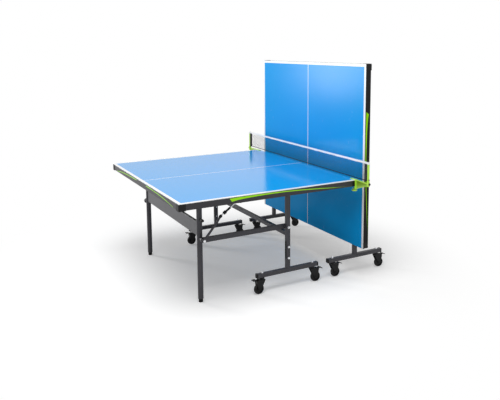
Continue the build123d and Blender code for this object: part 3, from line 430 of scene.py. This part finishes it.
def apron_paint(name, measure, painted_shade):
    """Dark powder coat with a lime stripe that tapers along each rail; shade below 1 darkens paint and stripe
    as painted shade.

    measure gives the distances from the outer end, below the panel and past the outer end.
    """
    finish = Finish(name, specular_ior_level=0.25 * painted_shade)
    x, y, z = finish.place()
    from_end, depth, past_end = measure(x, z)
    share = depth / APRON_HEIGHT
    blur = 0.012
    along = from_end / HALF_LENGTH
    middle = finish.curve(along, STRIPE_MIDDLE)
    width = finish.curve(along, STRIPE_WIDTH)
    start = (from_end - STRIPE_START - STRIPE_SLANT * depth).above(0, 0.0008)
    side = abs(share - middle).below(width, blur) * start
    side = side * abs(y).above(HALF_WIDTH - PAINT_SKIN, 0.0002)
    reach = abs(y) / HALF_WIDTH
    middle = finish.curve(reach, ARC_MIDDLE)
    width = finish.curve(reach, ARC_WIDTH)
    front = abs(share - middle).below(width, blur) * reach.above(ARC_START, 0.001)
    front = front * reach.below(ARC_END, 0.001) * past_end.above(0, 0.0002)
    stripe = side.larger(front)
    grain = finish.noise(700, detail=2)
    cloud = finish.noise(5, detail=3)
    # painted shade: shade below 1 darkens the paint and, less, the lime stripe
    paint = finish.tint(APRON_GREY, painted_shade * (0.86 + 0.2 * cloud + 0.12 * grain))
    lime = finish.tint(LIME, painted_shade ** 0.2 * (0.96 + 0.06 * cloud))
    finish.colour(finish.blend(stripe, paint, lime))
    finish.roughness(0.40 + 0.08 * cloud - 0.12 * stripe)
    finish.bump(grain * 0.7 + stripe * 0.8, 0.00005)
    return finish.material


def powder_coat(name, colour, dusty=0.0):
    """Fine textured paint on steel, a little paler where dust and scuffs gather low down."""
    finish = Finish(name, specular_ior_level=0.3)
    x, y, z = finish.place()
    grain = finish.noise(650, detail=2)
    cloud = finish.noise(6, detail=3)
    low = (1 - z / 0.35).larger(0) * dusty
    streaks = finish.stretched((60, 60, 18))
    scuff = finish.noise(1, detail=5, roughness=0.75, vector=streaks).above(0.60, 0.06)
    paint = finish.tint(colour, 0.84 + 0.22 * cloud + 0.14 * grain)
    finish.colour(finish.blend(low * (0.25 + 0.6 * scuff), paint, DUST))
    finish.roughness(0.38 + 0.10 * cloud + 0.10 * scuff)
    finish.bump(grain, 0.00006)
    return finish.material


def moulded_plastic(name, colour, texture=0.00005, roughness=0.46):
    """Injection moulded plastic with a spark-eroded grain."""
    finish = Finish(name, specular_ior_level=0.22)
    pits = finish.pits(900)
    cloud = finish.noise(9, detail=3)
    finish.colour(finish.tint(colour, 0.85 + 0.3 * cloud))
    finish.roughness(roughness + 0.10 * cloud + 0.05 * pits)
    finish.bump(pits, texture)
    return finish.material


def tyre_rubber():
    """Fine-grained rubber, dusty in patches."""
    finish = Finish("caster tyre", specular_ior_level=0.2)
    grain = finish.noise(800, detail=2)
    dust = finish.noise(60, detail=4, roughness=0.7).above(0.52, 0.10)
    finish.colour(finish.blend(dust * 0.10, finish.tint(TYRE_BLACK, 0.85 + 0.3 * grain), DUST))
    finish.roughness(0.52 + 0.14 * dust)
    finish.bump(grain, 0.00008)
    return finish.material


def plated_steel(name, brushed):
    """Zinc plate with a crystal bloom, and a grain scaled apart by brushed."""
    finish = Finish(name, metallic=1.0)
    bloom = finish.noise(90, detail=3)
    grain = finish.noise(1, detail=3, vector=finish.stretched(brushed))
    finish.colour(finish.tint(ZINC, 0.86 + 0.2 * bloom + 0.08 * grain))
    finish.roughness(0.24 + 0.14 * bloom)
    finish.bump(grain, 0.00002)
    return finish.material


def lime_enamel():
    """Glossy lime paint on the cast brackets, with painted shade darkening the sunk webs of their arms."""
    finish = Finish("lime enamel", coat_weight=0.4, coat_roughness=0.12)
    x, y, z = finish.place()
    # painted shade: the sunk web between the rims of each arm is tinted darker
    sunk_web_shade = abs(x - NET_X).below(ARM_WEB / 2 + 0.0008, 0.0004)
    sunk_web_shade = sunk_web_shade * abs(y).above(HALF_WIDTH + ARM_RIM, 0.001)
    sunk_web_shade = sunk_web_shade * abs(y).below(POST_Y - HUB_RADIUS - 0.003, 0.001)
    cloud = finish.noise(12, detail=3)
    peel = finish.noise(380, detail=2)
    finish.colour(finish.tint(PALE_LIME, 0.90 + 0.16 * cloud - 0.42 * sunk_web_shade))
    finish.roughness(0.30 + 0.10 * cloud)
    finish.bump(peel, 0.00006)
    return finish.material


def twisted_thread():
    """Black nylon thread: plies wind along it in relief, and each is painted paler along its crest as a
    painted highlight.
    """
    finish = Finish("net thread", roughness=0.7, specular_ior_level=0.1)
    x, y, z = finish.place()
    plies_and_highlight = (y + z).wave(0.0011)
    fuzz = finish.noise(1500, detail=2)
    # painted highlight: the colour is paler along the crest of each ply
    finish.colour(finish.tint(NET_BLACK, 0.7 + 0.5 * plies_and_highlight + 0.4 * fuzz))
    finish.bump(plies_and_highlight, 0.00012)
    return finish.material


def woven_tape():
    """White cotton tape: a plain weave, with a row of stitches along its lower edge."""
    finish = Finish("net tape", roughness=0.85, sheen_weight=0.25, sheen_roughness=0.5)
    x, y, z = finish.place()
    warp = y.wave(0.0009)
    weft = z.wave(0.0007)
    weave = warp * weft + (1 - warp) * (1 - weft)
    seam = abs(NET_TOP - z - STITCH_DROP).below(0.0005, 0.0002)
    thread = y.wave(0.0032).above(0.35, 0.15) * seam
    soil = finish.noise(14, detail=4)
    cloth = finish.tint(TAPE_WHITE, 0.94 + 0.05 * weave + 0.03 * soil)
    finish.colour(finish.tint(cloth, 1 - 0.10 * thread))
    finish.bump(weave * 0.5 + thread * 1.6 - seam * 0.6, 0.00018)
    return finish.material


def court_a_measure(x, z):
    return NET_EDGE_A - x, PANEL_TOP - z


def court_b_measure(x, z):
    return z - NET_EDGE_B, x - FACE_B


def apron_a_measure(x, z):
    return x - OUTER_EDGE_A, APRON_TOP - z, OUTER_EDGE_A + PAINT_SKIN - x


def apron_b_measure(x, z):
    return OUTER_EDGE_B - z, x - FACE_B - PANEL_THICKNESS, z - OUTER_EDGE_B + PAINT_SKIN


FRAME_PAINT = powder_coat("frame paint", ANTHRACITE, dusty=0.5)
BLACK_PLASTIC = moulded_plastic("black plastic", MOULDED_BLACK)
CASTER_PLASTIC = moulded_plastic("caster plastic", MOULDED_BLACK, texture=0.00008, roughness=0.40)
ZINC_BOLT = plated_steel("zinc bolts", (120, 120, 900))
LIME_ENAMEL = lime_enamel()
NET_THREADS = twisted_thread()
NET_CLOTH = woven_tape()

NODE_FINISH = {
    "playing_panel_a": court("playing surface, open half", court_a_measure,
                             mirror=0.5, gloss=0.135, rim=0.0042),
    "playing_panel_b": court("playing surface, upright half", court_b_measure,
                             mirror=0.05, gloss=0.20, rim=0.0010),
    "aprons_a": apron_paint("apron paint, open half", apron_a_measure, painted_shade=1.0),
    # painted shade: the upright half's aprons are the same paint made darker
    "aprons_b": apron_paint("apron paint, upright half", apron_b_measure, painted_shade=0.35),
    "corner_caps": BLACK_PLASTIC,
    "under_frame": FRAME_PAINT,
    "carriage_frame": FRAME_PAINT,
    "carriage_plastics": BLACK_PLASTIC,
    "carriage_bolts": ZINC_BOLT,
    "leg_tubes": FRAME_PAINT,
    "leg_panel": powder_coat("leg panel paint", LEG_PANEL_GREY),
    "leg_plastics": BLACK_PLASTIC,
    "levelling_foot": moulded_plastic("foot rubber", TYRE_BLACK, texture=0.00010, roughness=0.62),
    "link_bars": FRAME_PAINT,
    "stay_tubes": FRAME_PAINT,
    "stay_rods": plated_steel("zinc rod", (60, 900, 60)),
    "net_brackets": LIME_ENAMEL,
    "net_post_cores": BLACK_PLASTIC,
    "net_mesh": NET_THREADS,
    "net_tape": NET_CLOTH,
    "clamp_screw": LIME_ENAMEL,
    "caster_fork": CASTER_PLASTIC,
    "caster_wheel": tyre_rubber(),
    "caster_brake": CASTER_PLASTIC,
}

for node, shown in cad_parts.items():
    finish = next(NODE_FINISH[family] for family in NODE_FINISH if node.startswith(family))
    for slot in shown.material_slots:
        slot.material = finish


# ---------------------------------------------------------------- modelling helpers
def carriage_middle(node):
    """A move from x = 0 to the middle of a carriage."""
    low, high = CORNERS[node]
    return Matrix.Translation(((low[0] + high[0]) / 2, 0, 0))


def turning(pivot, degrees):
    """A turn about a line along Y."""
    there = Matrix.Translation(pivot)
    return there @ Matrix.Rotation(math.radians(degrees), 4, "Y") @ there.inverted()


HALF_A = carriage_middle("carriage_frame_a")
HALF_B = carriage_middle("carriage_frame_b") @ Matrix.Scale(-1, 4, (1, 0, 0))
FOLD = turning((0, 0, PIVOT_HEIGHT), 90)
PLACES = {
    "top_a": HALF_A,
    "legs_a": HALF_A,
    "stays_a": HALF_A,
    "legs_b": HALF_B @ Matrix.Translation((LEG_SETBACK, 0, LEG_SETBACK)),
    "stays_b": HALF_B @ FOLD @ turning(STAY_PIVOT, STAY_FOLD),
}
FAR_SIDE = Matrix.Scale(-1, 4, (0, 1, 0))
QUARTER_TURN = Matrix.Rotation(math.radians(90), 4, "X")
WELD_DISTANCE = 1e-6
CREASE_ANGLE = 38


def finished(name, bm, finish, body):
    """Turns a bmesh into a piece that rides on a body."""
    bmesh.ops.remove_doubles(bm, verts=bm.verts, dist=WELD_DISTANCE)
    bmesh.ops.recalc_face_normals(bm, faces=bm.faces)
    mesh = bpy.data.meshes.new(name)
    bm.to_mesh(mesh)
    bm.free()
    mesh.shade_smooth()
    mesh.set_sharp_from_angle(angle=math.radians(CREASE_ANGLE))
    mesh.materials.append(finish)
    piece = linked(name, mesh)
    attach(piece, body)
    return piece


def lathe(bm, outline, steps=32):
    """A turned form about Z from (radius, height) points."""
    points = [bm.verts.new((radius, 0, height)) for radius, height in outline]
    edges = [bm.edges.new(pair) for pair in zip(points, points[1:])]
    bmesh.ops.spin(bm, geom=points + edges, cent=(0, 0, 0), axis=(0, 0, 1), angle=math.tau,
                   steps=steps, use_merge=True)


def joined(bm, part):
    """Adds one bmesh to another and frees it."""
    scratch = bpy.data.meshes.new("scratch")
    part.to_mesh(scratch)
    part.free()
    bm.from_mesh(scratch)
    bpy.data.meshes.remove(scratch)


def on_both_sides(name, build, finish, bodies):
    """One piece per body, with the fitting on the near side and its twin on the far side."""
    for body in bodies:
        bm = bmesh.new()
        build(bm)
        twin = bm.copy()
        twin.transform(FAR_SIDE)
        joined(bm, twin)
        bm.transform(PLACES[body])
        finished(f"{name}_{body[-1]}", bm, finish, body)


# ---------------------------------------------------------------- fittings
def link_pin_nut(bm):
    """The domed nut, with its washer, on the end of the link's pin."""
    across, height = LINK_NUT_ACROSS, LINK_NUT_HEIGHT
    part = bmesh.new()
    lathe(part, [(0, 0), (across * 0.66, 0), (across * 0.66, height * 0.12), (0, height * 0.12)])
    bmesh.ops.create_cone(part, cap_ends=True, segments=6, radius1=across / 2, radius2=across / 2,
                          depth=height * 0.5, matrix=Matrix.Translation((0, 0, height * 0.37)))
    lathe(part, [(0, height * 0.5), (across * 0.42, height * 0.5), (across * 0.42, height * 0.72),
                 (across * 0.36, height * 0.88), (across * 0.22, height * 0.97), (0, height)], steps=20)
    part.transform(Matrix.Translation((-LEG_SETBACK, -LINK_NUT_Y, LINK_HEIGHT)) @ QUARTER_TURN)
    joined(bm, part)


def stay_grips(bm):
    """Moulded sleeves round the stay: a collar at the knee, the lock and its ringed grip."""
    along = (STAY_PIVOT - STAY_KNEE).normalized()
    lean = Vector((0, 0, 1)).rotation_difference(along).to_matrix().to_4x4()
    for start, end, inner, outer, rings in STAY_SLEEVES:
        outline = [(inner, start), (outer - SLEEVE_EDGE, start), (outer, start + SLEEVE_EDGE)]
        pitch = (end - start - 4 * SLEEVE_EDGE) / max(rings, 1)
        for ring in range(rings):
            foot = start + 2 * SLEEVE_EDGE + ring * pitch
            outline += [(outer, foot), (outer + GRIP_RIDGE, foot + pitch * 0.25),
                        (outer + GRIP_RIDGE, foot + pitch * 0.55), (outer, foot + pitch * 0.8)]
        outline += [(outer, end - SLEEVE_EDGE), (outer - SLEEVE_EDGE, end), (inner, end), (inner, start)]
        part = bmesh.new()
        lathe(part, outline, steps=28)
        part.transform(Matrix.Translation((STAY_KNEE.x, -STAY_Y, STAY_KNEE.z)) @ lean)
        joined(bm, part)


def hub_knobs(bm):
    """Black screw heads on the outer side of a net post: the arm's pivot and the height stop."""
    for radius, height, depth in HUB_KNOBS:
        part = bmesh.new()
        lathe(part, [(0, 0), (radius * 0.8, 0), (radius * 0.8, depth * 0.3), (radius, depth * 0.35),
                     (radius, depth * 0.8), (radius * 0.82, depth), (radius * 0.35, depth),
                     (radius * 0.3, depth * 0.7), (0, depth * 0.7)], steps=24)
        seat = POST_Y + (HUB_RADIUS if height < PANEL_TOP else POST_RADIUS) - KNOB_SINK
        part.transform(Matrix.Translation((NET_X - HALF_A.translation.x, -seat, height)) @ QUARTER_TURN)
        joined(bm, part)


on_both_sides("link_pin_nuts", link_pin_nut, ZINC_BOLT, ("legs_a", "legs_b"))
on_both_sides("stay_grips", stay_grips, BLACK_PLASTIC, ("stays_a", "stays_b"))
on_both_sides("hub_knobs", hub_knobs, BLACK_PLASTIC, ("top_a",))


# ---------------------------------------------------------------- the net
def net_lattice():
    """Knotted square mesh, slightly slack between its cords."""
    columns = round(NET_LENGTH / NET_PITCH)
    rows = round(NET_HEIGHT / NET_PITCH)
    bm = bmesh.new()
    bmesh.ops.create_grid(bm, x_segments=columns, y_segments=rows, size=0.5)
    bm.transform(Matrix.Diagonal((NET_LENGTH, NET_HEIGHT, 1, 1)))
    bm.transform(Matrix.Rotation(math.radians(90), 4, "Z") @ QUARTER_TURN)
    bm.transform(Matrix.Translation((NET_X, 0, NET_BOTTOM + NET_HEIGHT / 2)))
    for vert in bm.verts:
        slack = math.sin(math.pi * (vert.co.z - NET_BOTTOM) / NET_HEIGHT)
        vert.co.z += 0.0006 * slack * math.sin(vert.co.y * 31) + 0.0004 * math.sin(vert.co.y * 83)
        vert.co.y += 0.0009 * slack * math.sin(vert.co.z * 410 + vert.co.y * 17)
        vert.co.x += 0.0005 * slack * math.sin(vert.co.y * 23)
    bmesh.ops.wireframe(bm, faces=bm.faces, thickness=NET_THREAD, use_replace=True, use_boundary=True)
    return bm


def drawn_out(bm, edges, length, steps):
    """Extrudes a closed outline along Y in many steps, and closes both of its ends."""
    run = edges
    for _ in range(steps):
        grown = bmesh.ops.extrude_edge_only(bm, edges=run)["geom"]
        moved = [item for item in grown if isinstance(item, bmesh.types.BMVert)]
        bmesh.ops.translate(bm, verts=moved, vec=(0, length / steps, 0))
        run = [item for item in grown if isinstance(item, bmesh.types.BMEdge)]
    bmesh.ops.holes_fill(bm, edges=[edge for edge in bm.edges if edge.is_boundary], sides=0)


def net_tape_cloth():
    """Tape folded over the head cord and sewn below it, from post to post."""
    outline = [(-0.45, 1), (-0.62, 0.5), (-0.5, 0.32), (-0.85, 0.22), (-1, 0.12), (-0.8, 0.03), (0, 0),
               (0.8, 0.03), (1, 0.12), (0.85, 0.22), (0.5, 0.32), (0.62, 0.5), (0.45, 1)]
    bm = bmesh.new()
    points = [bm.verts.new((NET_X + across * TAPE_HALF, -TAPE_END, NET_TOP - drop * TAPE_HEIGHT))
              for across, drop in outline]
    edges = [bm.edges.new(pair) for pair in zip(points, points[1:] + points[:1])]
    drawn_out(bm, edges, 2 * TAPE_END, TAPE_STEPS)
    for vert in bm.verts:
        drop = (NET_TOP - vert.co.z) / TAPE_HEIGHT
        vert.co.x += drop * 0.0005 * math.sin(vert.co.y * 37) + 0.0002 * math.sin(vert.co.y * 151)
        vert.co.z += drop * 0.0004 * math.sin(vert.co.y * 61)
    return bm


def post_pockets(bm):
    """White pocket of the tape over the head of a post."""
    hollow = POST_RADIUS + 0.0003
    lathe(bm, [(0, NET_TOP - 0.0008), (hollow, NET_TOP - 0.0030), (hollow, NET_TOP - TAPE_HEIGHT),
               (POST_RADIUS + 0.0012, NET_TOP - TAPE_HEIGHT),
               (POST_RADIUS + 0.0015, NET_TOP - TAPE_HEIGHT * 0.5), (POST_RADIUS + 0.0011, NET_TOP - 0.002),
               (POST_RADIUS - 0.001, NET_TOP - 0.0004), (0, NET_TOP)])
    bm.transform(Matrix.Translation((NET_X - HALF_A.translation.x, -POST_Y, 0)))


def bottom_cord():
    """Cord threaded through the lowest meshes."""
    bm = bmesh.new()
    bmesh.ops.create_circle(bm, segments=10, radius=CORD_RADIUS)
    bm.transform(Matrix.Translation((NET_X, -CORD_END, NET_BOTTOM)) @ QUARTER_TURN)
    drawn_out(bm, list(bm.edges), 2 * CORD_END, CORD_STEPS)
    return bm


netting = finished("netting", net_lattice(), NET_THREADS, "top_a")
tape = finished("tape", net_tape_cloth(), NET_CLOTH, "top_a")
on_both_sides("post_pockets", post_pockets, NET_CLOTH, ("top_a",))
cord = finished("net_bottom_cord", bottom_cord(), NET_THREADS, "top_a")
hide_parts("net_mesh")
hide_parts("net_tape")
